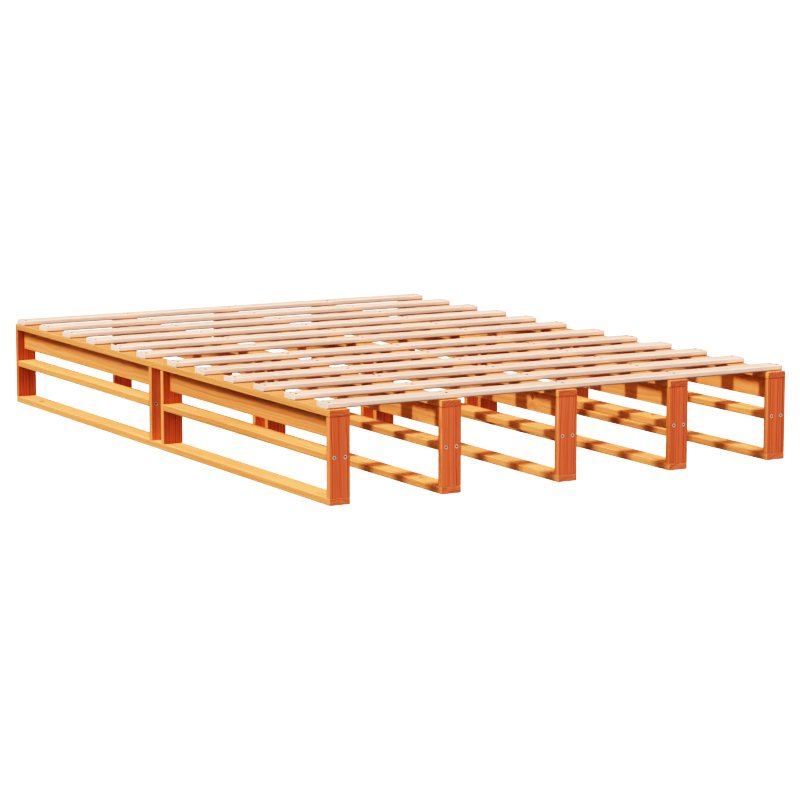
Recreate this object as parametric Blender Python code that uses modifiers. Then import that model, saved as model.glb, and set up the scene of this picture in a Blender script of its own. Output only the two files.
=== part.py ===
"""Low slatted bed base: five ladder-built frames side by side, tied together by slats screwed across them.

Metres, +Z up. The foot end is at -Y, the slats run along X. The origin is on the floor, under the centre.
"""

import math

import bmesh
import bpy
from mathutils import Vector

# Overall sizes of the base
BED_WIDTH = 1.400
BED_LENGTH = 2.000
FRAME_HEIGHT = 0.240

# Boards of the ladder frames: rails, posts and stretchers are cut from one stock, aprons from another
BOARD_WIDTH = 0.058
BOARD_THICKNESS = 0.018
APRON_HEIGHT = 0.058
APRON_THICKNESS = 0.015
EDGE_EASING = 0.0015

# Clear distances in the frames: between an outer frame and the next, and between the two mid posts
OUTER_BAY = 0.263
MID_POST_GAP = 0.058

# Slats: one group from each end, with a wider gap over the mid posts
SLAT_WIDTH = 0.058
SLAT_THICKNESS = 0.015
SLAT_EDGE_RADIUS = 0.004
SLAT_END_SETBACK = 0.012
SLAT_SIDE_SETBACK = 0.001
CENTRE_SLAT_GAP = 0.144
SLATS_PER_GROUP = 6

# Two bolts pull each end of a stretcher against its post, into inserts in the stretcher's end grain
BOLT_EDGE_DISTANCE = 0.0135
BOLT_HOLE_DIAMETER = 0.007
BOLT_HEAD_DIAMETER = 0.011
BOLT_HEAD_DEPTH = 0.003
INSERT_BORE_DIAMETER = 0.008
INSERT_BORE_DEPTH = 0.030

# Two countersunk screws hold each slat down on each frame. Those over the outer frames stand near the
# slat's ends.
SCREW_EDGE_DISTANCE = 0.0135
SCREW_END_DISTANCE = 0.011
SCREW_HOLE_DIAMETER = 0.0045
SCREW_HEAD_DIAMETER = 0.008
SCREW_HEAD_DEPTH = 0.0025

# What pieces that touch keep between them, and how far a cut runs past the face that it starts from
SEAT_GAP = 0.0003
CUT_OVERRUN = 0.001

# Faces round a hole and round a slat's edge
HOLE_SIDES = 8
SLAT_EDGE_SEGMENTS = 3

# Linear colours: honey-waxed pine for the frames, pale pine for the slats
WAXED_PINE = (0.74, 0.29, 0.07, 1.0)
PALE_PINE = (0.83, 0.73, 0.60, 1.0)

# Heights and lengths that follow from the sizes above
STRETCHER_CENTRE = FRAME_HEIGHT / 2
TOP_RAIL_UNDERSIDE = FRAME_HEIGHT - BOARD_THICKNESS
APRON_TOP = TOP_RAIL_UNDERSIDE - SEAT_GAP
END_POST_INNER_FACE = BED_LENGTH / 2 - BOARD_THICKNESS
MID_POST_OUTER_FACE = MID_POST_GAP / 2 + BOARD_THICKNESS
SPAN_LENGTH = END_POST_INNER_FACE - MID_POST_OUTER_FACE - 2 * SEAT_GAP
SPAN_CENTRE = (END_POST_INNER_FACE + MID_POST_OUTER_FACE) / 2
SLAT_LENGTH = BED_WIDTH - 2 * SLAT_SIDE_SETBACK

# Where the frames stand, from the left: the inner ones follow from the outer bays
OUTER_FRAME_X = (BED_WIDTH - BOARD_WIDTH) / 2
INNER_FRAME_X = OUTER_FRAME_X - BOARD_WIDTH - OUTER_BAY
FRAME_PLACES = {
    "left_outer": -OUTER_FRAME_X,
    "left_inner": -INNER_FRAME_X,
    "centre": 0,
    "right_inner": INNER_FRAME_X,
    "right_outer": OUTER_FRAME_X,
}


def clear_scene():
    for obj in list(bpy.data.objects):
        bpy.data.objects.remove(obj)


def collection(name):
    made = bpy.data.collections.new(name)
    bpy.context.scene.collection.children.link(made)
    return made


def pine(name, colour):
    material = bpy.data.materials.new(name)
    material.use_nodes = True
    shader = material.node_tree.nodes["Principled BSDF"]
    shader.inputs["Base Color"].default_value = colour
    shader.inputs["Roughness"].default_value = 0.4
    shader.inputs["Metallic"].default_value = 0.0
    material.diffuse_color = colour
    return material


def holder(name, location):
    """An empty that a group of boards hangs from."""
    empty = bpy.data.objects.new(name, None)
    empty.location = location
    parts.objects.link(empty)
    return empty


def box_mesh(name, size):
    """A cube primitive brought to size round its centre. Its lengthwise edges are marked for rounding."""
    length_axis = size.index(max(size))
    mesh = bpy.data.meshes.new(name)
    bm = bmesh.new()
    bmesh.ops.create_cube(bm, size=1)
    bmesh.ops.scale(bm, vec=size, verts=bm.verts)
    weight = bm.edges.layers.float.new("bevel_weight_edge")
    for edge in bm.edges:
        start, end = edge.verts
        edge[weight] = 1 if start.co[length_axis] != end.co[length_axis] else 0
    bm.to_mesh(mesh)
    bm.free()
    return mesh


def board(name, size, centre, parent, colour):
    made = bpy.data.objects.new(name, box_mesh(name, size))
    made.parent = parent
    made.location = centre
    made.data.materials.append(pine(f"{name}_wood", colour))
    parts.objects.link(made)
    return made


def ease_long_edges(made):
    """Breaks the edges along a board. Its ends stay square, because they butt against other boards."""
    easing = made.modifiers.new("eased_long_edges", "BEVEL")
    easing.width = EDGE_EASING
    easing.segments = 1
    easing.limit_method = "WEIGHT"


def ease_sharp_edges(made):
    """Breaks whatever sharp edges a board has, round its ends too, as a sander would."""
    easing = made.modifiers.new("eased_sharp_edges", "BEVEL")
    easing.width = EDGE_EASING
    easing.segments = 1
    easing.limit_method = "ANGLE"
    easing.angle_limit = math.radians(45)


def round_long_edges(made):
    rounding = made.modifiers.new("rounded_long_edges", "BEVEL")
    rounding.width = SLAT_EDGE_RADIUS
    rounding.segments = SLAT_EDGE_SEGMENTS
    rounding.limit_method = "WEIGHT"


def bores_mesh(name, bores):
    """A closed cone or cylinder for each bore, given as start, end, radius at the start and at the end."""
    mesh = bpy.data.meshes.new(name)
    bm = bmesh.new()
    for start, end, start_radius, end_radius in bores:
        along = end - start
        turn = along.to_track_quat("Z", "Y").to_matrix().to_4x4()
        turn.translation = (start + end) / 2
        bmesh.ops.create_cone(
            bm,
            cap_ends=True,
            segments=HOLE_SIDES,
            radius1=start_radius,
            radius2=end_radius,
            depth=along.length,
            matrix=turn,
        )
    bm.to_mesh(mesh)
    bm.free()
    return mesh


def helper(name, mesh, parent, centre=(0, 0, 0)):
    """An object that only a Boolean uses, carried by the board that it cuts or joins."""
    made = bpy.data.objects.new(name, mesh)
    made.parent = parent
    made.location = centre
    made.hide_render = True
    made.display_type = "WIRE"
    cutters.objects.link(made)
    return made


def combine(made, other, operation):
    boolean = made.modifiers.new(other.name, "BOOLEAN")
    boolean.object = other
    boolean.operation = operation


def cut(made, mesh):
    combine(made, helper(f"{made.name}_{mesh.name}", mesh, made), "DIFFERENCE")


def bolt_places():
    """Where a post's or a stretcher's two bolts run, across its width."""
    reach = BOARD_WIDTH / 2 - BOLT_EDGE_DISTANCE
    return (-reach, reach)


def bolt_hole_bores():
    face = BOARD_THICKNESS / 2 + CUT_OVERRUN
    radius = BOLT_HOLE_DIAMETER / 2
    return [(Vector((x, -face, 0)), Vector((x, face, 0)), radius, radius) for x in bolt_places()]


def bolt_head_bores():
    """Flat-bottomed recesses in the post's -Y face."""
    mouth = -BOARD_THICKNESS / 2 - CUT_OVERRUN
    floor = -BOARD_THICKNESS / 2 + BOLT_HEAD_DEPTH
    radius = BOLT_HEAD_DIAMETER / 2
    return [(Vector((x, mouth, 0)), Vector((x, floor, 0)), radius, radius) for x in bolt_places()]


def insert_bores():
    """Blind bores in both ends of a stretcher."""
    mouth = SPAN_LENGTH / 2 + CUT_OVERRUN
    floor = SPAN_LENGTH / 2 - INSERT_BORE_DEPTH
    radius = INSERT_BORE_DIAMETER / 2
    return [
        (Vector((x, end * mouth, 0)), Vector((x, end * floor, 0)), radius, radius)
        for x in bolt_places()
        for end in (-1, 1)
    ]


def screw_places():
    """Where a slat's screws stand: in pairs, near its ends and over the middle of each frame between."""
    reach = SLAT_WIDTH / 2 - SCREW_EDGE_DISTANCE
    last = SLAT_LENGTH / 2 - SCREW_END_DISTANCE
    return [(x, y) for x in (-last, -INNER_FRAME_X, 0, INNER_FRAME_X, last) for y in (-reach, reach)]


def screw_hole_bores():
    face = SLAT_THICKNESS / 2 + CUT_OVERRUN
    radius = SCREW_HOLE_DIAMETER / 2
    return [(Vector((x, y, face)), Vector((x, y, -face)), radius, radius) for x, y in screw_places()]


def screw_head_bores():
    """Countersinks: each cone runs down to its point, which lies inside the hole that is already there."""
    radius = SCREW_HEAD_DIAMETER / 2
    slope = (radius - SCREW_HOLE_DIAMETER / 2) / SCREW_HEAD_DEPTH
    mouth = SLAT_THICKNESS / 2 + CUT_OVERRUN
    point = SLAT_THICKNESS / 2 - radius / slope
    mouth_radius = radius + slope * CUT_OVERRUN
    return [(Vector((x, y, mouth)), Vector((x, y, point)), mouth_radius, 0) for x, y in screw_places()]


def rail(name, z, frame):
    """A board as long as the bed, lying flat."""
    made = board(name, (BOARD_WIDTH, BED_LENGTH, BOARD_THICKNESS), (0, 0, z), frame, WAXED_PINE)
    ease_sharp_edges(made)
    return made


def post(name, y, turned, frame):
    """An upright between the rails. Its bolt heads are on its -Y face, or on the other if it is turned."""
    height = FRAME_HEIGHT - 2 * BOARD_THICKNESS - 2 * SEAT_GAP
    size = (BOARD_WIDTH, BOARD_THICKNESS, height)
    made = board(name, size, (0, y, FRAME_HEIGHT / 2), frame, WAXED_PINE)
    made.rotation_euler.z = math.pi if turned else 0
    ease_long_edges(made)
    cut(made, bolt_holes)
    cut(made, bolt_heads)


def stretcher(name, y, frame):
    """A board at half height, lying flat between an end post and a mid post."""
    size = (BOARD_WIDTH, SPAN_LENGTH, BOARD_THICKNESS)
    made = board(name, size, (0, y, STRETCHER_CENTRE), frame, WAXED_PINE)
    ease_long_edges(made)
    cut(made, inserts)


def apron(name, y, frame):
    """A board on edge under the top rail, between the same posts, along the rail's middle."""
    size = (APRON_THICKNESS, SPAN_LENGTH, APRON_HEIGHT)
    made = board(name, size, (0, y, APRON_TOP - APRON_HEIGHT / 2), frame, WAXED_PINE)
    ease_long_edges(made)


def join_apron(top_rail, name, y):
    """The same apron in one piece with its rail: it runs on up to the middle of the rail's thickness."""
    bottom = APRON_TOP - APRON_HEIGHT
    top = FRAME_HEIGHT - BOARD_THICKNESS / 2
    size = (APRON_THICKNESS, SPAN_LENGTH, top - bottom)
    centre = Vector((0, y, (top + bottom) / 2)) - top_rail.location
    rib = helper(name, box_mesh(name, size), top_rail, centre)
    ease_long_edges(rib)
    combine(top_rail, rib, "UNION")


def ladder_frame(side, x, aprons_joined):
    """Two rails, four posts, two stretchers and two aprons. A half is drawn for each end of the bed."""
    frame = holder(f"{side}_frame", (x, 0, 0))
    rail(f"{side}_bottom_rail", BOARD_THICKNESS / 2, frame)
    top_rail = rail(f"{side}_top_rail", FRAME_HEIGHT - BOARD_THICKNESS / 2, frame)
    for half, sign in (("foot", -1), ("head", 1)):
        end_y = sign * (END_POST_INNER_FACE + BOARD_THICKNESS / 2)
        mid_y = sign * (MID_POST_OUTER_FACE - BOARD_THICKNESS / 2)
        post(f"{side}_{half}_post", end_y, half == "head", frame)
        post(f"{side}_{half}_mid_post", mid_y, half == "foot", frame)
        stretcher(f"{side}_{half}_stretcher", sign * SPAN_CENTRE, frame)
        if aprons_joined:
            join_apron(top_rail, f"{side}_{half}_apron_rib", sign * SPAN_CENTRE)
        else:
            apron(f"{side}_{half}_apron", sign * SPAN_CENTRE, frame)


def slat(name, y, deck):
    size = (SLAT_LENGTH, SLAT_WIDTH, SLAT_THICKNESS)
    made = board(name, size, (0, y, SLAT_THICKNESS / 2), deck, PALE_PINE)
    round_long_edges(made)
    ease_sharp_edges(made)
    cut(made, screw_holes)
    cut(made, screw_heads)


def slat_deck():
    """The slats, numbered from the foot: each group is spread evenly from its end to the middle gap."""
    deck = holder("slat_deck", (0, 0, FRAME_HEIGHT + SEAT_GAP))
    first = BED_LENGTH / 2 - SLAT_END_SETBACK - SLAT_WIDTH / 2
    last = (CENTRE_SLAT_GAP + SLAT_WIDTH) / 2
    pitch = (first - last) / (SLATS_PER_GROUP - 1)
    foot_group = [-first + pitch * step for step in range(SLATS_PER_GROUP)]
    head_group = [-y for y in reversed(foot_group)]
    for number, y in enumerate(foot_group + head_group, start=1):
        slat(f"slat_{number:02d}", y, deck)


clear_scene()
parts = collection("slatted_bed_base")
cutters = collection("cutters")
bolt_holes = bores_mesh("bolt_holes", bolt_hole_bores())
bolt_heads = bores_mesh("bolt_heads", bolt_head_bores())
inserts = bores_mesh("insert_bores", insert_bores())
screw_holes = bores_mesh("screw_holes", screw_hole_bores())
screw_heads = bores_mesh("screw_heads", screw_head_bores())
for frame_side, frame_x in FRAME_PLACES.items():
    ladder_frame(frame_side, frame_x, aprons_joined=frame_side == "centre")
slat_deck()
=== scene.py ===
"""Looks of the slatted bed base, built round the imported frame.

Rounded boards with bolts and screws, waxed and pale pine, plated steel, floor, lights, camera and tone curve.
"""

import math
import random
from collections import namedtuple

import bmesh
import bpy
from mathutils import Matrix, Vector


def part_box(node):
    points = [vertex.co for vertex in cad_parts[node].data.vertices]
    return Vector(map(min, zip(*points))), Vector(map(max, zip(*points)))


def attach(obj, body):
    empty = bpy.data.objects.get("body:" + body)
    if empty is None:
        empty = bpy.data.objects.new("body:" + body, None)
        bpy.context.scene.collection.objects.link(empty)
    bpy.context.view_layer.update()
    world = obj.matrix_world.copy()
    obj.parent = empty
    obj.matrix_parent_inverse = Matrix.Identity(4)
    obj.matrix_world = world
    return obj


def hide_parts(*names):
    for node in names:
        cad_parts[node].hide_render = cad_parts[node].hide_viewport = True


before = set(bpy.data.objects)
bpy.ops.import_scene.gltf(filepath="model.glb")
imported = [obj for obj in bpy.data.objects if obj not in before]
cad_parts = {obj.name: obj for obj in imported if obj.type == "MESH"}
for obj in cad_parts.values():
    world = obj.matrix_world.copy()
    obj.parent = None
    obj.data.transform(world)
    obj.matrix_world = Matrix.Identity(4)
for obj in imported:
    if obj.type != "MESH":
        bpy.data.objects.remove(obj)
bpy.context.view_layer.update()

RANDOM_SEED = 41

# The five ladder frames from left to right, as the names of their boards start
FRAME_NAMES = ("left_outer", "left_inner", "centre", "right_inner", "right_outer")

# Boards, in metres: width and thickness as in the CAD source, and how their edges are rounded
BOARD_WIDTH = 0.058
BOARD_THICKNESS = 0.018
EDGE_RADIUS = 0.0015
EDGE_SEGMENTS = 3
SLAT_EDGE_RADIUS = 0.004
SLAT_EDGE_SEGMENTS = 6
SLAT_END_RADIUS = 0.0012
BUTT_END_EASING = 0.0002
BUTT_END_SEGMENTS = 1

# The bevel profile that is an arc of a circle
ROUND_PROFILE = 0.5

# Least cosines of an edge that runs along an axis and of a flat face, and least angles in degrees of an edge
# round a block's end and of one that stays sharp in smooth shading
ALONG_COSINE = 0.99
FLAT_COSINE = 0.985
CORNER_ANGLE = 60
SHARP_ANGLE = 40

# Bolts through the posts, and the recesses that their heads sit in
BOLT_EDGE_DISTANCE = 0.0135
BOLT_HEIGHT = 0.120
RECESS_RADIUS = 0.0055
RECESS_DEPTH = 0.003
RECESS_EASING = 0.0003
BOLT_HEAD_RADIUS = 0.0053
BOLT_HEAD_TOP = 0.0002
BOLT_HEAD_EASING = 0.0007
BOLT_HEAD_CORNER = 0.0002

# The bolts' hexagonal sockets, with a round flared mouth and a shallow cone at the bottom
BOLT_SOCKET_APOTHEM = 0.0022
BOLT_SOCKET_DEPTH = 0.0022
BOLT_SOCKET_CONE = 0.0005
BOLT_MOUTH_RADIUS = BOLT_SOCKET_APOTHEM * 1.32
BOLT_FLARE_APOTHEM = BOLT_SOCKET_APOTHEM * 1.05
BOLT_FLARE_DEPTH = 0.0003
BOLT_FLARE_END = 0.0005

# Screws through the slats, and their countersinks
SCREW_EDGE_DISTANCE = 0.0135
SCREW_END_DISTANCE = 0.011
COUNTERSINK_RADIUS = 0.004
COUNTERSINK_DEPTH = 0.0025
SCREW_HOLE_RADIUS = 0.00225
SCREW_HOLE_DEPTH = COUNTERSINK_DEPTH * 2
SCREW_NECK_RADIUS = SCREW_HOLE_RADIUS * 0.8
SCREW_NECK_DEPTH = COUNTERSINK_DEPTH * 1.6
SCREW_HEAD_RADIUS = 0.0037
SCREW_HEAD_RISE = 0.0008
SCREW_RIM_HALF = 0.0001
SCREW_SHOULDER_RADIUS = SCREW_HEAD_RADIUS * 0.86
SCREW_SHOULDER_RISE = SCREW_HEAD_RISE * 0.6

# The screws' cross recesses, with a round mouth, narrower at the bottom, which is a shallow cone
CROSS_REACH = 0.0021
CROSS_HALF_WIDTH = 0.00045
CROSS_DEPTH = 0.0013
CROSS_CONE = 0.0004
CROSS_MOUTH_RADIUS = CROSS_REACH * 1.2
CROSS_MOUTH_DEPTH = 0.0001
CROSS_FLOOR_REACH = CROSS_REACH * 0.55
CROSS_FLOOR_HALF_WIDTH = CROSS_HALF_WIDTH * 0.9

# How far below their tops the heads turn dark with shade and grease
RECESS_SHADE_DEPTH = 0.0006

# Turned shapes and cuts: sides of a circle, how far a cutter stands out, and what keeps a division from zero
ROUND_SIDES = 24
CUT_OVERRUN = 0.001
NEAR_ZERO = 1e-6

# Where the tree's pith lay, across and through a board from its middle: close by in flat-sawn boards, far to
# one side in quarter-sawn ones, whose rings show as straight lines
FLAT_SAWN = ((-0.030, 0.030), (0.025, 0.070))
QUARTER_SAWN = ((0.060, 0.160), (-0.020, 0.020))

# Each kind of board: which way its grain, width and thickness run, how it was sawn, how much of the redder
# look its faces along X, Y and Z have (redder end grain and post faces, in part painted light and shade), and
# how light those faces are, which is painted light and shade by the way each side faces the lamps
BoardKind = namedtuple("BoardKind", "axes pith warmth lightness")
BOARD_KINDS = {
    "bottom_rail": BoardKind((1, 0, 2), FLAT_SAWN, (0.0, 0.87, 0.0), (0.84, 1.02, 1.06)),
    "top_rail": BoardKind((1, 0, 2), FLAT_SAWN, (0.0, 0.9, 0.20), (0.81, 0.90, 0.83)),
    "stretcher": BoardKind((1, 0, 2), FLAT_SAWN, (0.0, 0.9, 0.0), (0.83, 1.0, 1.10)),
    "apron": BoardKind((1, 2, 0), FLAT_SAWN, (0.12, 0.9, 0.0), (0.86, 1.0, 0.95)),
    "foot_post": BoardKind((2, 0, 1), QUARTER_SAWN, (0.52, 0.95, 0.9), (0.95, 1.0, 1.0)),
    "head_post": BoardKind((2, 0, 1), QUARTER_SAWN, (0.60, 0.85, 0.9), (0.93, 0.68, 1.0)),
    "foot_mid_post": BoardKind((2, 0, 1), QUARTER_SAWN, (0.08, 0.85, 0.9), (0.84, 0.65, 1.0)),
    "head_mid_post": BoardKind((2, 0, 1), QUARTER_SAWN, (0.08, 0.85, 0.9), (0.84, 1.05, 1.0)),
    "slat": BoardKind((0, 1, 2), FLAT_SAWN, (1.0, 1.0, 0.0), (1.0, 1.0, 0.98)),
}

# What differs from board to board: where along the endless grain it was cut, in metres, and how light it is
GRAIN_STARTS = (0, 40)
BOARD_TONES = (0.96, 1.04)

# Painted shade: how much darker than the rest a board is along its lower edges, which face halfway down
LOWER_EDGE_PAINTED_SHADE = 0.38

# The looks of the two pines: colours of the early and the late wood, plain and redder, of knots and of bare
# wood, and how strongly each pattern shows. ring is in metres, and knot_cells is in cells a metre
FRAME_LOOK = {
    "early": (0.800, 0.388, 0.166, 1),
    "late": (0.670, 0.270, 0.090, 1),
    "warm_early": (0.630, 0.180, 0.080, 1),
    "warm_late": (0.42, 0.085, 0.037, 1),
    "knot": (0.30, 0.095, 0.045, 1),
    "bare": (0.72, 0.40, 0.20, 1),
    "ring": 0.0068,
    "ring_depth": 0.75,
    "warm_ring_depth": 0.9,
    "wander": 0.022,
    "streaks": 0.13,
    "fibres": 0.05,
    "blotches": 0.06,
    "green_swing": 1.1,
    "blue_swing": 1.2,
    "knot_cells": 7.0,
    "knot_share": 0.07,
    "edge_wear": 0.15,
    "specular": 0.25,
    "rough_low": 0.42,
    "rough_high": 0.54,
    "bump": 0.35,
}
SLAT_LOOK = {
    "early": (0.705, 0.530, 0.420, 1),
    "late": (0.630, 0.395, 0.280, 1),
    "warm_early": (0.750, 0.580, 0.480, 1),
    "warm_late": (0.650, 0.470, 0.365, 1),
    "knot": (0.50, 0.26, 0.16, 1),
    "bare": (0.66, 0.49, 0.40, 1),
    "ring": 0.0075,
    "ring_depth": 0.5,
    "warm_ring_depth": 0.6,
    "wander": 0.020,
    "streaks": 0.05,
    "fibres": 0.03,
    "blotches": 0.03,
    "green_swing": 1.15,
    "blue_swing": 1.3,
    "knot_cells": 7.0,
    "knot_share": 0.03,
    "edge_wear": 0.15,
    "specular": 0.25,
    "rough_low": 0.46,
    "rough_high": 0.60,
    "bump": 0.35,
}

# What both pines share. A stretch is the patches a metre of a noise along the grain, across it and through
# the board, and a span is the part of a noise's range that shows
WANDER_STRETCH = (2.6, 9.0, 9.0)
STREAK_STRETCH = (1.1, 70.0, 70.0)
FIBRE_STRETCH = (22.0, 1100.0, 1100.0)
BLOTCH_STRETCH = (2.0, 11.0, 11.0)
STREAK_SPAN = (0.3, 0.7)
FIBRE_SPAN = (0.2, 0.8)
BLOTCH_SPAN = (0.25, 0.75)
GLOSS_SPAN = (0.25, 0.75)
ALONG_AND_ACROSS = (1.0, 1.0, 0.0)
ACROSS_AND_THROUGH = (0.0, 1.0, 1.0)
NOISE_MIDDLE = (0.5, 0.5, 0.5)

# Knots, in shares of a cell: the ragged rim that fades out from the second value to the first, and how far
# round the knot the rings swirl. The size is 0 for the lowest draw named here and 1 for a draw of 1
KNOT_RIM = (0.075, 0.055)
KNOT_RAGGED_SCALE = 260.0
KNOT_RAGGEDNESS = 0.03
KNOT_SWIRL_REACH = 0.34
KNOT_LOWEST_DRAW = 0.5
KNOT_DEPTH = 0.85

# Growth rings: how many rings an uneven pace of growth, the swirl round knots and a slow wave shift them by.
# Latewood builds up over the first stretch of a ring, ends over the second, and is faint in some years
RING_UNEVEN_SCALE = 55.0
RING_UNEVENNESS = 2.4
RING_SWIRL = 1.6
RING_WAVE_SCALE = 5.0
RING_WAVE = 0.5
LATEWOOD_RISE = (0.25, 0.86)
LATEWOOD_FALL = (1.0, 0.9)
LATEWOOD_FAINTEST = 0.2

# Wear of the eased edges, and the surface: roughness that latewood takes away and wear adds, and heights in
# shares of the depth, which is in metres
WEAR_SCALE = 60.0
WEAR_SPAN = (0.35, 0.65)
WEAR_LEAST = 0.3
LATEWOOD_SHINE = 0.05
WORN_DULLNESS = 0.12
LATEWOOD_HEIGHT = 0.5
FIBRE_HEIGHT = 0.6
KNOT_HEIGHT = 0.6
PINE_BUMP_DEPTH = 0.0003

# Plated steel: cloudy plating, turning marks, and grease with painted shade in the recesses
BOLT_LOOK = {"colour": (0.78, 0.66, 0.57, 1), "roughness": 0.40, "metallic": 0.55}
SCREW_LOOK = {"colour": (0.11, 0.105, 0.11, 1), "roughness": 0.45, "metallic": 0.7}
GREASE_AND_SHADE = (0.17, 0.13, 0.11, 1)
GREASE_DULLNESS = 0.2
PLATING_SCALE = 420.0
PLATING_SPAN = (0.3, 0.7)
PLATING_DARKEST = 0.82
PLATING_SHINE = 0.07
PLATING_DULLNESS = 0.12
TURNING_STRETCH = (2600.0, 2600.0, 300.0)
STEEL_BUMP = 0.25
STEEL_BUMP_DEPTH = 0.0001

# Camera: fitted to the corners of the boards in the photograph, in metres, degrees and millimetres of lens
CAMERA_PLACE = (-4.0837, -7.2200, 1.3322)
CAMERA_YAW = 29.950
CAMERA_PITCH = 8.566
CAMERA_LENS = 131.124
CAMERA_SENSOR = 36
CAMERA_SIGHT = 400

# Floor and backdrop, in metres
WHITE = (1, 1, 1, 1)
FLOOR_COLOUR = (0.20, 0.20, 0.20, 1)
FLOOR_ROUGHNESS = 0.75
FLOOR_SPECULAR = 0.1
FLOOR_GLOW = 1.55
FLOOR_DROP = 0.0005
FLOOR_REACH = 60
BACKDROP_BEND = 20
BACKDROP_SEGMENTS = 12
BACKDROP_SIDES = 96

# Lights: strengths in watts a square metre, widths and heights in degrees. A fill has its direction, its
# strength and its width
KEY_RISES = (42.0, 48.0, 54.0)
KEY_SOFTNESS = 8
KEY_STRENGTH = 3.6
FILLS = {
    "front_left_fill": ((-0.8, -1, 0.25), 1.3, 50),
    "front_right_fill": ((0.8, -1, 0.4), 1.18, 60),
    "back_right_fill": ((0.9, 0.9, -0.3), 1.4, 22),
}

# Light from all round: where it is brightest, and the cosine from there at which it is dimmest
DOME_COLOUR = (1.0, 0.82, 0.78, 1)
DOME_LEAN = (0.2, 0, 0.98)
DOME_EDGE = -0.3
DOME_DIM = 0.05
DOME_BRIGHT = 0.93

# Tone curve: MIDDLE_LIGHT comes out half as bright as TONE_GAIN, WHITE_LIGHT comes out white, and the curve's
# points lie at TONE_STOPS
MIDDLE_LIGHT = 0.49
WHITE_LIGHT = 1.55
TONE_GAIN = 1.10
TONE_STOPS = (0.03, 0.06, 0.10, 0.15, 0.21, 0.28, 0.37, 0.48, 0.62, 0.80, 1.00, 1.20, 1.40)

# The curve that is the same for all channels, and the Mix node's sockets for colours
COMBINED_CURVE = 3
MIX_FACTOR = 0
MIX_FIRST = 6
MIX_SECOND = 7
MIX_RESULT = 2


def node(tree, kind, inputs=None, **settings):
    """Adds a node. An input takes a value or another node's output."""
    made = tree.nodes.new(kind)
    for name, value in settings.items():
        setattr(made, name, value)
    for socket, value in (inputs or {}).items():
        if isinstance(value, bpy.types.NodeSocket):
            tree.links.new(value, made.inputs[socket])
        else:
            made.inputs[socket].default_value = value
    return made


def calc(tree, operation, *values):
    return node(tree, "ShaderNodeMath", dict(enumerate(values)), operation=operation).outputs["Value"]


def add_share(tree, value, pattern, share):
    """value plus share times pattern."""
    return calc(tree, "ADD", value, calc(tree, "MULTIPLY", pattern, share))


def vector_calc(tree, operation, *values, output="Vector"):
    made = node(tree, "ShaderNodeVectorMath", dict(enumerate(values)), operation=operation)
    return made.outputs[output]


def remap(tree, value, low, high, to_low=0.0, to_high=1.0, smooth=True):
    made = node(
        tree,
        "ShaderNodeMapRange",
        {"Value": value, "From Min": low, "From Max": high, "To Min": to_low, "To Max": to_high},
        interpolation_type="SMOOTHSTEP" if smooth else "LINEAR",
    )
    return made.outputs["Result"]


def swing(tree, pattern, span, share):
    """A factor that goes from share below 1 to share above 1 as the pattern goes through its span."""
    return remap(tree, pattern, *span, 1 - share, 1 + share)


def noise(tree, vector, scale, detail=2.0, roughness=0.5):
    made = node(
        tree,
        "ShaderNodeTexNoise",
        {"Vector": vector, "Scale": scale, "Detail": detail, "Roughness": roughness},
    )
    return made.outputs["Fac"]


def stretched_noise(tree, vector, stretch, detail=2.0, roughness=0.5):
    return noise(tree, vector_calc(tree, "MULTIPLY", vector, stretch), 1.0, detail, roughness)


def attribute(tree, name, output="Fac"):
    """What store_on_points or store_on_faces stored under the name."""
    return node(tree, "ShaderNodeAttribute", attribute_name=name).outputs[output]


def mixed(tree, factor, first, second, blend="MIX"):
    inputs = {MIX_FACTOR: factor, MIX_FIRST: first, MIX_SECOND: second}
    return node(tree, "ShaderNodeMix", inputs, data_type="RGBA", blend_type=blend).outputs[MIX_RESULT]


def shaded(tree, colour, red, green, blue):
    """The colour with each channel multiplied by its own factor."""
    factors = node(tree, "ShaderNodeCombineColor", {"Red": red, "Green": green, "Blue": blue})
    return mixed(tree, 1.0, colour, factors.outputs["Color"], blend="MULTIPLY")


def new_material(name):
    material = bpy.data.materials.new(name)
    material.use_nodes = True
    return material, material.node_tree, material.node_tree.nodes["Principled BSDF"]


def knots(tree, grain, look):
    """Where the knots are, and where rings swirl round them.

    A sparse few of the cells of a flat pattern hold a knot, which goes through the board's thickness.
    """
    flat = vector_calc(tree, "MULTIPLY", grain, ALONG_AND_ACROSS)
    pattern = {"Vector": flat, "Scale": look["knot_cells"]}
    cells = node(tree, "ShaderNodeTexVoronoi", pattern, voronoi_dimensions="2D")
    draw = node(tree, "ShaderNodeSeparateColor", {"Color": cells.outputs["Color"]}).outputs["Red"]
    has_knot = calc(tree, "GREATER_THAN", draw, 1 - look["knot_share"])
    above_lowest = calc(tree, "ADD", draw, -KNOT_LOWEST_DRAW)
    size = calc(tree, "MULTIPLY", above_lowest, 1 / (1 - KNOT_LOWEST_DRAW))
    distance = calc(tree, "DIVIDE", cells.outputs["Distance"], size)
    ragged_distance = add_share(tree, distance, noise(tree, grain, KNOT_RAGGED_SCALE), KNOT_RAGGEDNESS)
    knot = calc(tree, "MULTIPLY", remap(tree, ragged_distance, *KNOT_RIM), has_knot)
    swirl = calc(tree, "MULTIPLY", remap(tree, distance, KNOT_SWIRL_REACH, 0.0), has_knot)
    return knot, swirl


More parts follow.
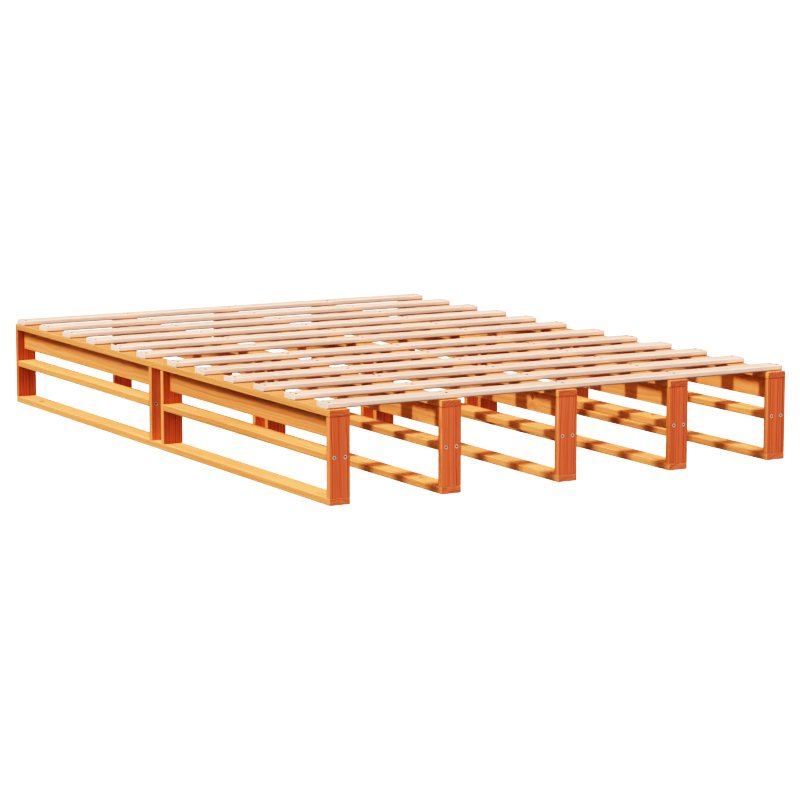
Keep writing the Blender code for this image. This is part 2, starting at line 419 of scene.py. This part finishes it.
def growth_rings(tree, grain, swirl, look):
    """How much latewood there is: rings by the distance from the pith, which wanders along the board."""
    slow = vector_calc(tree, "MULTIPLY", grain, WANDER_STRETCH)
    wander = node(tree, "ShaderNodeTexNoise", {"Vector": slow, "Scale": 1.0, "Detail": 2.0}).outputs["Color"]
    centred = vector_calc(tree, "SUBTRACT", wander, NOISE_MIDDLE)
    drift = vector_calc(tree, "MULTIPLY", centred, (0.0, look["wander"], look["wander"]))
    drifted = vector_calc(tree, "ADD", grain, drift)
    from_pith = vector_calc(tree, "MULTIPLY", drifted, ACROSS_AND_THROUGH)
    radius = vector_calc(tree, "LENGTH", from_pith, output="Value")
    by_radius = {"W": radius, "Scale": RING_UNEVEN_SCALE, "Detail": 2.0}
    uneven = node(tree, "ShaderNodeTexNoise", by_radius, noise_dimensions="1D").outputs["Fac"]
    rings = calc(tree, "MULTIPLY", radius, 1 / look["ring"])
    rings = add_share(tree, rings, uneven, RING_UNEVENNESS)
    rings = add_share(tree, rings, swirl, RING_SWIRL)
    rings = add_share(tree, rings, noise(tree, slow, RING_WAVE_SCALE, detail=3.0), RING_WAVE)
    phase = calc(tree, "FRACT", rings)
    latewood = calc(tree, "MULTIPLY", remap(tree, phase, *LATEWOOD_RISE), remap(tree, phase, *LATEWOOD_FALL))
    year = {"W": calc(tree, "FLOOR", rings)}
    draw = node(tree, "ShaderNodeTexWhiteNoise", year, noise_dimensions="1D").outputs["Value"]
    return calc(tree, "MULTIPLY", latewood, remap(tree, draw, 0.0, 1.0, LATEWOOD_FAINTEST, 1.0))


def pine(name, look):
    """Solid pine: growth rings, fibres, streaks, sparse knots, and wax that has worn off at the edges."""
    material, tree, shader = new_material(name)
    grain = attribute(tree, "grain_place", "Vector")
    knot, swirl = knots(tree, grain, look)
    latewood = growth_rings(tree, grain, swirl, look)

    # Streaks, fibres and blotches run along the grain
    streak = stretched_noise(tree, grain, STREAK_STRETCH, detail=3.0, roughness=0.6)
    fibre = stretched_noise(tree, grain, FIBRE_STRETCH, roughness=0.6)
    blotch = stretched_noise(tree, grain, BLOTCH_STRETCH, detail=3.0)

    # The plain colour, and the redder one of end grain and some sides, which is in part painted light and
    # shade
    plain_rings = calc(tree, "MULTIPLY", latewood, look["ring_depth"])
    plain = mixed(tree, plain_rings, look["early"], look["late"])
    red_rings = calc(tree, "MULTIPLY", latewood, look["warm_ring_depth"])
    red = mixed(tree, red_rings, look["warm_early"], look["warm_late"])
    colour = mixed(tree, attribute(tree, "warm_grain_and_painted_light"), plain, red)

    # How light each place is, with green and blue swinging wider than red
    streaks = calc(tree, "MULTIPLY", remap(tree, streak, *STREAK_SPAN), look["streaks"])
    value = calc(tree, "ADD", streaks, 1 - look["streaks"] / 2)
    value = calc(tree, "MULTIPLY", value, swing(tree, fibre, FIBRE_SPAN, look["fibres"]))
    value = calc(tree, "MULTIPLY", value, swing(tree, blotch, BLOTCH_SPAN, look["blotches"]))
    # Each face's stored tone holds painted light and shade by the way it points, and darker lower edges
    value = calc(tree, "MULTIPLY", value, attribute(tree, "board_tone"))
    green = calc(tree, "POWER", value, look["green_swing"])
    blue = calc(tree, "POWER", value, look["blue_swing"])
    colour = shaded(tree, colour, value, green, blue)

    # Dark knots, and bare wood where the wax has worn off the eased edges
    colour = mixed(tree, calc(tree, "MULTIPLY", knot, KNOT_DEPTH), colour, look["knot"])
    patches = remap(tree, noise(tree, grain, WEAR_SCALE, detail=3.0), *WEAR_SPAN, WEAR_LEAST, 1.0)
    worn = calc(tree, "MULTIPLY", attribute(tree, "eased_edge"), patches)
    colour = mixed(tree, calc(tree, "MULTIPLY", worn, look["edge_wear"]), colour, look["bare"])
    tree.links.new(colour, shader.inputs["Base Color"])

    # Latewood is harder and shinier, and it stands a little proud, as fibres and knots do
    roughness = remap(tree, streak, *GLOSS_SPAN, look["rough_low"], look["rough_high"])
    roughness = add_share(tree, roughness, latewood, -LATEWOOD_SHINE)
    roughness = add_share(tree, roughness, worn, WORN_DULLNESS)
    tree.links.new(roughness, shader.inputs["Roughness"])
    shader.inputs["Specular IOR Level"].default_value = look["specular"]
    height = add_share(tree, calc(tree, "MULTIPLY", latewood, LATEWOOD_HEIGHT), fibre, FIBRE_HEIGHT)
    height = add_share(tree, height, knot, KNOT_HEIGHT)
    relief = {"Strength": look["bump"], "Distance": PINE_BUMP_DEPTH, "Height": height}
    tree.links.new(node(tree, "ShaderNodeBump", relief).outputs["Normal"], shader.inputs["Normal"])
    return material


def steel(name, colour, roughness, metallic):
    """Plated steel: cloudy plating, fine turning marks, and grease and painted shade in the recesses."""
    material, tree, shader = new_material(name)
    place = node(tree, "ShaderNodeTexCoord").outputs["Object"]
    recess = attribute(tree, "in_recess")
    cloud = noise(tree, place, PLATING_SCALE, detail=3.0)
    shade = remap(tree, cloud, *PLATING_SPAN, PLATING_DARKEST, 1.0)
    # Grease and painted shade: the recesses are made dark
    colour = mixed(tree, recess, shaded(tree, colour, shade, shade, shade), GREASE_AND_SHADE)
    tree.links.new(colour, shader.inputs["Base Color"])
    gloss = remap(tree, cloud, *PLATING_SPAN, roughness - PLATING_SHINE, roughness + PLATING_DULLNESS)
    tree.links.new(add_share(tree, gloss, recess, GREASE_DULLNESS), shader.inputs["Roughness"])
    marks = stretched_noise(tree, place, TURNING_STRETCH)
    relief = {"Strength": STEEL_BUMP, "Distance": STEEL_BUMP_DEPTH, "Height": marks}
    tree.links.new(node(tree, "ShaderNodeBump", relief).outputs["Normal"], shader.inputs["Normal"])
    shader.inputs["Metallic"].default_value = metallic
    return material


def bevel(bm, edges, radius, segments):
    bmesh.ops.bevel(bm, geom=edges, offset=radius, segments=segments, profile=ROUND_PROFILE, affect="EDGES")


def rounded_box(low, high, grain_axis, long_radius, long_segments, end_radius, end_segments):
    """A bmesh block whose edges along the grain and round its ends are rounded."""
    bm = bmesh.new()
    bmesh.ops.create_cube(bm, size=1)
    bmesh.ops.scale(bm, vec=high - low, verts=bm.verts)
    bmesh.ops.translate(bm, vec=(low + high) / 2, verts=bm.verts)

    def runs_along(edge):
        way = (edge.verts[1].co - edge.verts[0].co).normalized()
        return abs(way[grain_axis]) > ALONG_COSINE

    long_edges = [edge for edge in bm.edges if runs_along(edge)]
    bevel(bm, long_edges, long_radius, long_segments)
    bm.normal_update()
    end_edges = [
        edge
        for edge in bm.edges
        if not runs_along(edge) and edge.calc_face_angle(0) > math.radians(CORNER_ANGLE)
    ]
    bevel(bm, end_edges, end_radius, end_segments)
    return bm


def turned(bm, profile, place, sides=ROUND_SIDES, spin=0.0):
    """Adds a closed turned solid to bm.

    profile gives the radius and the height of each ring, and a radius is a number or a function of the angle.
    """
    rings = []
    for radius, height in profile:
        if radius == 0:
            rings.append([bm.verts.new(place @ Vector((0, 0, height)))])
            continue
        ring = []
        for step in range(sides):
            angle = 2 * math.pi * step / sides
            reach = radius(angle) if callable(radius) else radius
            point = Vector((reach * math.cos(angle + spin), reach * math.sin(angle + spin), height))
            ring.append(bm.verts.new(place @ point))
        rings.append(ring)
    for lower, upper in zip(rings, rings[1:]):
        for step in range(sides):
            after = (step + 1) % sides
            if len(lower) == 1:
                bm.faces.new((lower[0], upper[after], upper[step]))
            elif len(upper) == 1:
                bm.faces.new((lower[step], lower[after], upper[0]))
            else:
                bm.faces.new((lower[step], lower[after], upper[after], upper[step]))


def mesh_object(name, bm):
    bmesh.ops.recalc_face_normals(bm, faces=bm.faces)
    mesh = bpy.data.meshes.new(name)
    bm.to_mesh(mesh)
    bm.free()
    made = bpy.data.objects.new(name, mesh)
    bpy.context.scene.collection.objects.link(made)
    return made


def cut(made, cutter):
    """Applies a Boolean difference and deletes the cutter."""
    boolean = made.modifiers.new("cut", "BOOLEAN")
    boolean.object = cutter
    boolean.operation = "DIFFERENCE"
    boolean.solver = "EXACT"
    keep_modified(made)
    bpy.data.objects.remove(cutter)


def keep_modified(made):
    """Makes what the modifiers give the object's own mesh."""
    depsgraph = bpy.context.evaluated_depsgraph_get()
    mesh = bpy.data.meshes.new_from_object(made.evaluated_get(depsgraph))
    made.modifiers.clear()
    made.data = mesh


def smooth(made):
    """Smooth shading that leaves flat faces flat and keeps hole rims sharp."""
    made.data.shade_smooth()
    made.data.set_sharp_from_angle(angle=math.radians(SHARP_ANGLE))
    weighted = made.modifiers.new("weighted_normals", "WEIGHTED_NORMAL")
    weighted.keep_sharp = True
    keep_modified(made)


def store_on_points(mesh, name, vectors):
    stored = mesh.attributes.new(name, "FLOAT_VECTOR", "POINT")
    for item, vector in zip(stored.data, vectors):
        item.vector = vector


def store_on_faces(mesh, name, values):
    stored = mesh.attributes.new(name, "FLOAT", "FACE")
    for item, value in zip(stored.data, values):
        item.value = value


def give_grain(made, low, kind, dice):
    """Stores where each point lies, the tone with painted light and shade, and how red or eased each face is.
    """
    (along, across, through), (across_range, through_range), warmth_and_painted_light, painted_lightness = BOARD_KINDS[kind]
    side = dice.choice((-1, 1))
    pith = Vector((
        dice.uniform(*GRAIN_STARTS),
        side * dice.uniform(*across_range),
        dice.uniform(*through_range),
    ))
    mesh = made.data

    def grain_place(point):
        offset = point - low
        centre_offset = offset[across] - BOARD_WIDTH / 2
        return (offset[along] + pith.x, centre_offset + pith.y, offset[through] + pith.z)

    def by_face(shares):
        """Each face's share: a blend of the shares along X, Y and Z by the squares of its normal."""
        return [sum(share * n * n for share, n in zip(shares, face.normal)) for face in mesh.polygons]

    def lower_edge_shade(face):
        """Painted shade on lower edges: 1 on flat faces, and lowest where an eased edge faces halfway down.
        """
        down = max(0, -face.normal.z)
        halfway = 4 * down * (1 - down)
        return 1 - LOWER_EDGE_PAINTED_SHADE * halfway

    store_on_points(mesh, "grain_place", [grain_place(vertex.co) for vertex in mesh.vertices])
    tone = dice.uniform(*BOARD_TONES)
    # Painted light and shade: each face lighter or darker by the way it points, and darker on lower edges
    tones_and_painted_light = [tone * light * lower_edge_shade(face) for light, face in zip(by_face(painted_lightness), mesh.polygons)]
    store_on_faces(mesh, "board_tone", tones_and_painted_light)
    store_on_faces(mesh, "warm_grain_and_painted_light", by_face(warmth_and_painted_light))
    eased = [1.0 if max(map(abs, face.normal)) < FLAT_COSINE else 0.0 for face in mesh.polygons]
    store_on_faces(mesh, "eased_edge", eased)


def quarter_turn(towards):
    """A rotation that takes +Z to the given direction."""
    return Vector(towards).to_track_quat("Z", "Y").to_matrix().to_4x4()


def bolt_places(low, high, facing):
    """The middle of each bolt head's face on a post, with +Z pointing out of the post."""
    face_y = low.y if facing < 0 else high.y
    turn = quarter_turn((0, facing, 0))
    sides = (low.x + BOLT_EDGE_DISTANCE, high.x - BOLT_EDGE_DISTANCE)
    return [Matrix.Translation((x, face_y, BOLT_HEIGHT)) @ turn for x in sides]


def screw_places(low, high):
    """Pairs near the slat's ends and over the middle of each frame between."""
    columns = (low.x + SCREW_END_DISTANCE, *frame_middles[1:-1], high.x - SCREW_END_DISTANCE)
    rows = (low.y + SCREW_EDGE_DISTANCE, high.y - SCREW_EDGE_DISTANCE)
    return [Matrix.Translation((x, y, high.z)) for x in columns for y in rows]


def hexagon(apothem):
    """A radius for turned that gives a hexagon."""

    def reach(angle):
        return apothem / math.cos((angle + math.pi / 6) % (math.pi / 3) - math.pi / 6)

    return reach


def cross(reach, half_width):
    """A radius for turned that gives a cross with four arms."""

    def arm(angle):
        by_end = reach / max(abs(math.cos(angle)), NEAR_ZERO)
        by_side = half_width / max(abs(math.sin(angle)), NEAR_ZERO)
        return min(by_end, by_side)

    return lambda angle: max(arm(angle), arm(angle + math.pi / 2))


def recess_cutter(places):
    bm = bmesh.new()
    for place in places:
        turned(bm, [
            (0, CUT_OVERRUN),
            (RECESS_RADIUS + RECESS_EASING, CUT_OVERRUN),
            (RECESS_RADIUS + RECESS_EASING, 0.0),
            (RECESS_RADIUS, -RECESS_EASING),
            (RECESS_RADIUS, -RECESS_DEPTH),
            (0, -RECESS_DEPTH),
        ], place)
    return mesh_object("recess_cutter", bm)


def countersink_cutter(places):
    bm = bmesh.new()
    slope = (COUNTERSINK_RADIUS - SCREW_HOLE_RADIUS) / COUNTERSINK_DEPTH
    for place in places:
        turned(bm, [
            (0, CUT_OVERRUN),
            (COUNTERSINK_RADIUS + slope * CUT_OVERRUN, CUT_OVERRUN),
            (SCREW_HOLE_RADIUS, -COUNTERSINK_DEPTH),
            (SCREW_HOLE_RADIUS, -SCREW_HOLE_DEPTH),
            (0, -SCREW_HOLE_DEPTH),
        ], place)
    return mesh_object("countersink_cutter", bm)


def bolts(name, places, dice):
    """Low cap heads with a hexagonal socket, seated in the recesses."""
    bm = bmesh.new()
    top = -BOLT_HEAD_TOP
    socket = hexagon(BOLT_SOCKET_APOTHEM)
    for place in places:
        turned(bm, [
            (0, -RECESS_DEPTH),
            (BOLT_HEAD_RADIUS, -RECESS_DEPTH),
            (BOLT_HEAD_RADIUS, top - BOLT_HEAD_EASING),
            (BOLT_HEAD_RADIUS - BOLT_HEAD_CORNER, top - BOLT_HEAD_CORNER),
            (BOLT_HEAD_RADIUS - BOLT_HEAD_EASING, top),
            (BOLT_MOUTH_RADIUS, top),
            (hexagon(BOLT_FLARE_APOTHEM), top - BOLT_FLARE_DEPTH),
            (socket, top - BOLT_FLARE_END),
            (socket, top - BOLT_SOCKET_DEPTH),
            (0, top - BOLT_SOCKET_DEPTH - BOLT_SOCKET_CONE),
        ], place, spin=dice.uniform(0, math.pi))
    return mesh_object(name, bm)


def screws(name, places, dice):
    """Raised countersunk heads with a cross recess, whose rims lie level with the slat's face."""
    bm = bmesh.new()
    top = SCREW_HEAD_RISE
    for place in places:
        turned(bm, [
            (0, -SCREW_NECK_DEPTH),
            (SCREW_NECK_RADIUS, -SCREW_NECK_DEPTH),
            (SCREW_NECK_RADIUS, -COUNTERSINK_DEPTH),
            (SCREW_HEAD_RADIUS, -SCREW_RIM_HALF),
            (SCREW_HEAD_RADIUS, SCREW_RIM_HALF),
            (SCREW_SHOULDER_RADIUS, SCREW_SHOULDER_RISE),
            (CROSS_MOUTH_RADIUS, top),
            (cross(CROSS_REACH, CROSS_HALF_WIDTH), top - CROSS_MOUTH_DEPTH),
            (cross(CROSS_FLOOR_REACH, CROSS_FLOOR_HALF_WIDTH), top - CROSS_DEPTH),
            (0, top - CROSS_DEPTH - CROSS_CONE),
        ], place, spin=dice.uniform(0, math.pi / 2))
    return mesh_object(name, bm)


def shade_recesses(made, place, top):
    """Marks the faces well below the tops of heads in one plane, of which place and top are one head's."""
    way = (place.to_3x3() @ Vector((0, 0, 1))).normalized()
    depths = [(place.translation - face.center).dot(way) + top for face in made.data.polygons]
    store_on_faces(made.data, "in_recess", [1.0 if depth > RECESS_SHADE_DEPTH else 0.0 for depth in depths])


def put(made, material, replaced=()):
    """Gives a piece its material and its body, and hides the nodes that it replaces."""
    made.data.materials.clear()
    made.data.materials.append(material)
    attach(made, "root")
    if replaced:
        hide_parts(*replaced)


def frame_board(name, low, high, kind, replaced, dice, bolt_side=0):
    """A board of a ladder frame. bolt_side is the way along Y that its bolt heads face, or 0 for none."""
    ends = (EDGE_RADIUS, EDGE_SEGMENTS) if kind.endswith("rail") else (BUTT_END_EASING, BUTT_END_SEGMENTS)
    along = BOARD_KINDS[kind].axes[0]
    made = mesh_object(name, rounded_box(low, high, along, EDGE_RADIUS, EDGE_SEGMENTS, *ends))
    places = bolt_places(low, high, bolt_side) if bolt_side else []
    if places:
        cut(made, recess_cutter(places))
    smooth(made)
    give_grain(made, low, kind, dice)
    put(made, waxed_pine, [replaced])
    if places:
        heads = bolts(f"{name}_bolts", places, dice)
        smooth(heads)
        shade_recesses(heads, places[0], -BOLT_HEAD_TOP)
        put(heads, bolt_steel)


def slat_board(name, low, high, dice):
    """The board and the screws of one slat, whose node has the given name."""
    along = BOARD_KINDS["slat"].axes[0]
    bm = rounded_box(low, high, along, SLAT_EDGE_RADIUS, SLAT_EDGE_SEGMENTS, SLAT_END_RADIUS, EDGE_SEGMENTS)
    made = mesh_object(f"{name}_board", bm)
    places = screw_places(low, high)
    cut(made, countersink_cutter(places))
    smooth(made)
    give_grain(made, low, "slat", dice)
    put(made, pale_pine, [name])
    heads = screws(f"{name}_screws", places, dice)
    smooth(heads)
    shade_recesses(heads, places[0], SCREW_HEAD_RISE)
    put(heads, screw_steel)


def bolt_side_of(name):
    """Bolt heads show on the outside of the end posts and in the gap between the mid posts."""
    if not name.endswith("post"):
        return 0
    at_foot = "_foot_" in name
    if "mid_post" in name:
        return 1 if at_foot else -1
    return -1 if at_foot else 1


def kind_of(name):
    """The kind of board that a node is: the longest of those that its name ends with."""
    if name.startswith("slat"):
        return "slat"
    return next(kind for kind in sorted(BOARD_KINDS, key=len, reverse=True) if name.endswith(kind))


def middle_of(name):
    """The X of the middle of a node."""
    return sum(corner.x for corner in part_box(name)) / 2


def build_boards():
    """A board for each node, and the centre frame's two aprons, which its top rail's node holds too."""
    for name in sorted(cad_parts):
        dice = random.Random(f"{RANDOM_SEED} {name}")
        low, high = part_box(name)
        if kind_of(name) == "slat":
            slat_board(name, low, high, dice)
            continue
        if name == "centre_top_rail":
            low = Vector((low.x, low.y, high.z - BOARD_THICKNESS))
        frame_board(f"{name}_board", low, high, kind_of(name), name, dice, bolt_side_of(name))
    to_centre = Vector((middle_of("left_inner_foot_apron"), 0, 0))
    for half in ("foot", "head"):
        low, high = (corner - to_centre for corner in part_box(f"left_inner_{half}_apron"))
        name = f"centre_{half}_apron_board"
        dice = random.Random(f"{RANDOM_SEED} {name}")
        frame_board(name, low, high, "apron", "centre_top_rail", dice)


def backdrop():
    """A floor that curves up into a wall all round, bright enough to come out white behind the bed."""
    bm = bmesh.new()
    bend = FLOOR_REACH - BACKDROP_BEND
    arc = [math.radians(90 * step / BACKDROP_SEGMENTS) for step in range(BACKDROP_SEGMENTS + 1)]
    curve = [(bend + BACKDROP_BEND * math.sin(rise), BACKDROP_BEND * (1 - math.cos(rise))) for rise in arc]
    place = Matrix.Translation((0, 0, -FLOOR_DROP))
    turned(bm, [(0, 0), *curve, (FLOOR_REACH, FLOOR_REACH)], place, sides=BACKDROP_SIDES)
    made = mesh_object("backdrop", bm)
    material, _, shader = new_material("pale_floor")
    shader.inputs["Base Color"].default_value = FLOOR_COLOUR
    shader.inputs["Roughness"].default_value = FLOOR_ROUGHNESS
    shader.inputs["Specular IOR Level"].default_value = FLOOR_SPECULAR
    shader.inputs["Emission Color"].default_value = WHITE
    shader.inputs["Emission Strength"].default_value = FLOOR_GLOW
    made.data.materials.append(material)
    made.visible_diffuse = False
    made.visible_glossy = False
    made.visible_shadow = False


def sun(name, towards, strength, softness):
    """A light from far away: towards points from the bed to it, and softness is its width in degrees."""
    data = bpy.data.lights.new(name, "SUN")
    data.energy = strength
    data.angle = math.radians(softness)
    made = bpy.data.objects.new(name, data)
    made.rotation_mode = "QUATERNION"
    made.rotation_quaternion = Vector(towards).to_track_quat("Z", "Y")
    bpy.context.scene.collection.objects.link(made)


def lights():
    """Keys from the left that overlap into one tall lamp, and soft fills, two in front and one behind."""
    for step, rise in enumerate(map(math.radians, KEY_RISES)):
        sun(f"key_{step}", (-math.cos(rise), 0, math.sin(rise)), KEY_STRENGTH / len(KEY_RISES), KEY_SOFTNESS)
    for name, (towards, strength, softness) in FILLS.items():
        sun(name, towards, strength, softness)


def dome():
    """Soft light from all round, brightest from above, which matt surfaces alone pick up."""
    world = bpy.data.worlds.new("studio")
    bpy.context.scene.world = world
    world.use_nodes = True
    tree = world.node_tree
    way = node(tree, "ShaderNodeTexCoord").outputs["Generated"]
    lean = vector_calc(tree, "DOT_PRODUCT", way, DOME_LEAN, output="Value")
    strength = remap(tree, lean, DOME_EDGE, 1.0, DOME_DIM, DOME_BRIGHT, smooth=False)
    tree.nodes["Background"].inputs["Color"].default_value = DOME_COLOUR
    tree.links.new(strength, tree.nodes["Background"].inputs["Strength"])
    world.cycles_visibility.camera = False
    world.cycles_visibility.glossy = False


def camera():
    data = bpy.data.cameras.new("camera")
    data.lens = CAMERA_LENS
    data.sensor_width = CAMERA_SENSOR
    data.clip_end = CAMERA_SIGHT
    made = bpy.data.objects.new("camera", data)
    made.location = CAMERA_PLACE
    made.rotation_euler = (math.radians(90 - CAMERA_PITCH), 0, -math.radians(CAMERA_YAW))
    bpy.context.scene.collection.objects.link(made)
    bpy.context.scene.camera = made


def grade():
    """A film-like tone curve, the same for each channel.

    It is TONE_GAIN times light squared, over the sum of light squared and MIDDLE_LIGHT squared.
    """
    settings = bpy.context.scene.view_settings
    settings.view_transform = "Standard"
    settings.look = "None"
    settings.use_curve_mapping = True
    mapping = settings.curve_mapping
    mapping.white_level = (WHITE_LIGHT, WHITE_LIGHT, WHITE_LIGHT)
    for light in TONE_STOPS:
        bright = TONE_GAIN * light**2 / (light**2 + MIDDLE_LIGHT**2)
        mapping.curves[COMBINED_CURVE].points.new(light / WHITE_LIGHT, bright)
    mapping.update()


frame_middles = [middle_of(f"{side}_bottom_rail") for side in FRAME_NAMES]
waxed_pine = pine("waxed_pine_looks", FRAME_LOOK)
pale_pine = pine("pale_pine_looks", SLAT_LOOK)
bolt_steel = steel("bolt_steel", **BOLT_LOOK)
screw_steel = steel("screw_steel", **SCREW_LOOK)
build_boards()
backdrop()
lights()
dome()
camera()
grade()
